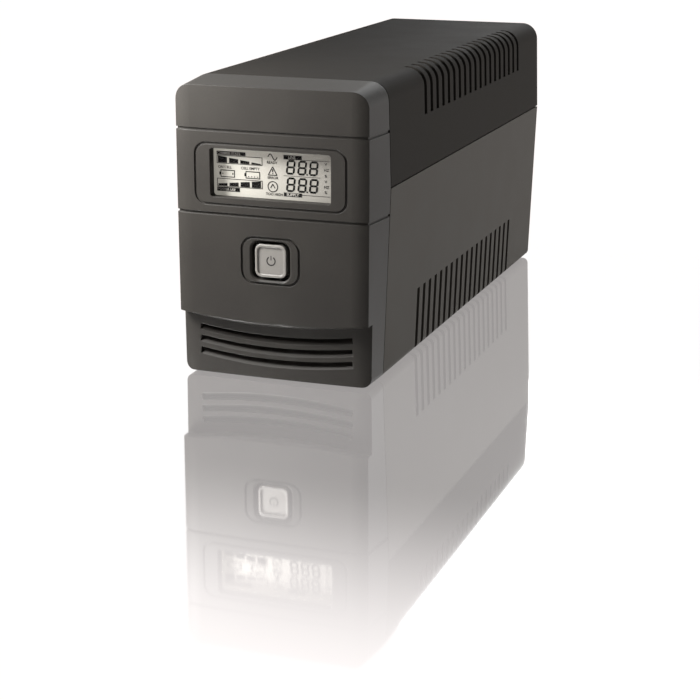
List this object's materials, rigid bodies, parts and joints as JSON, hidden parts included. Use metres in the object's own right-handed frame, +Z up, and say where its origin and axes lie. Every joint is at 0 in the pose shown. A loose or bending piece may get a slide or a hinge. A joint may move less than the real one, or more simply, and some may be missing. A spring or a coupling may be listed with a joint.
{
  "type": "uninterruptible power supply",
  "caption": "Tower power supply unit with battery, transformer, display window, sprung push button, vent slots and rear appliance sockets with a pull-out fuse drawer.",
  "frame": {"origin": "centre of the bounding box's bottom face, on the plane under the rubber feet", "axes": "+Z up, -Y out of the display front, +Y out of the socket panel, +X to the right seen from the front"},
  "size_m": [0.101, 0.298, 0.142],
  "materials": {
    "case_black": "fine-grained satin charcoal moulding",
    "button_grey": "satin light grey moulding",
    "lens_clear": "clear polished window",
    "lcd_silver": "silver reflective liquid-crystal cell",
    "holder_white": "white backlight moulding",
    "board_green": "green solder mask",
    "screw_steel": "zinc-plated",
    "spring_steel": "drawn wire",
    "foot_rubber": "matt black",
    "socket_black": "moulded thermoset",
    "contact_brass": "bright",
    "pin_nickel": "nickel plate",
    "fuse_glass": "clear tube",
    "jack_grey": "moulded",
    "battery_grey": "moulded ABS",
    "battery_plates": null,
    "tab_tin": "tinned",
    "foam_grey": "closed-cell foam",
    "core_steel": "varnished laminations",
    "bobbin_nylon": "moulded nylon",
    "winding_copper": "enamelled copper wire",
    "frame_zinc": "zinc-plated sheet",
    "sink_aluminium": "extruded",
    "package_black": "moulded epoxy",
    "relay_black": "moulded cover",
    "can_sleeve": "shrink sleeve",
    "choke_ferrite": "wound ring core",
    "header_white": "moulded nylon",
    "wire_red": "insulated wire",
    "wire_black": "insulated wire",
    "wire_blue": "insulated wire",
    "ribbon_grey": "flat ribbon"
  },
  "bodies": {
    "case": {"battery_case": "battery_grey", "battery_cells": "battery_plates", "battery_lid": "battery_grey", "battery_pads": "foam_grey", "battery_terminals": "tab_tin", "board_headers": "header_white", "board_screws": "screw_steel", "bottom_case": "case_black", "button_spring": "spring_steel", "buzzer": "package_black", "case_screws": "screw_steel", "choke": "choke_ferrite", "control_chip": "package_black", "display_board": "board_green", "display_board_screws": "screw_steel", "display_ribbon": "ribbon_grey", "filter_capacitors": "can_sleeve", "front_bezel": "case_black", "heat_sinks": "sink_aluminium", "inlet_housing": "socket_black", "inlet_leads": "wire_black", "inlet_pins": "pin_nickel", "jack_contacts": "contact_brass", "lcd_holder": "holder_white", "lcd_lens": "lens_clear", "lcd_panel": "lcd_silver", "main_board": "board_green", "negative_lead": "wire_black", "outlet_1": "socket_black", "outlet_2": "socket_black", "outlet_3": "socket_black", "outlet_4": "socket_black", "outlet_contacts": "contact_brass", "outlet_leads": "wire_black", "outlet_links": "contact_brass", "phone_jacks": "jack_grey", "positive_lead": "wire_red", "power_transistors": "package_black", "rear_panel": "case_black", "rear_panel_screws": "screw_steel", "relays": "relay_black", "rubber_feet": "foot_rubber", "switch_body": "package_black", "terminal_connectors": "wire_red", "top_cover": "case_black", "transformer_bobbin": "bobbin_nylon", "transformer_bolts": "screw_steel", "transformer_core": "core_steel", "transformer_frame": "frame_zinc", "transformer_windings": "winding_copper", "transistor_legs": "tab_tin", "usb_shell": "pin_nickel", "usb_tongue": "header_white", "winding_leads": "wire_blue"},
    "button": {"power_button": "button_grey", "switch_plunger": "header_white"},
    "drawer": {"fuse_drawer": "socket_black", "fuse_glass": "fuse_glass", "fuse_caps": "pin_nickel"}
  },
  "joints": [
    {"name": "power_button_press", "type": "slide", "parent": "case", "child": "button", "axis": [0, 1, 0], "range_m": [0, 0.002], "stiffness_N_per_m": 600, "springref_m": -0.001, "deforming": ["button_spring"]},
    {"name": "fuse_drawer_slide", "type": "slide", "parent": "case", "child": "drawer", "axis": [0, 1, 0], "range_m": [0, 0.018]}
  ]
}
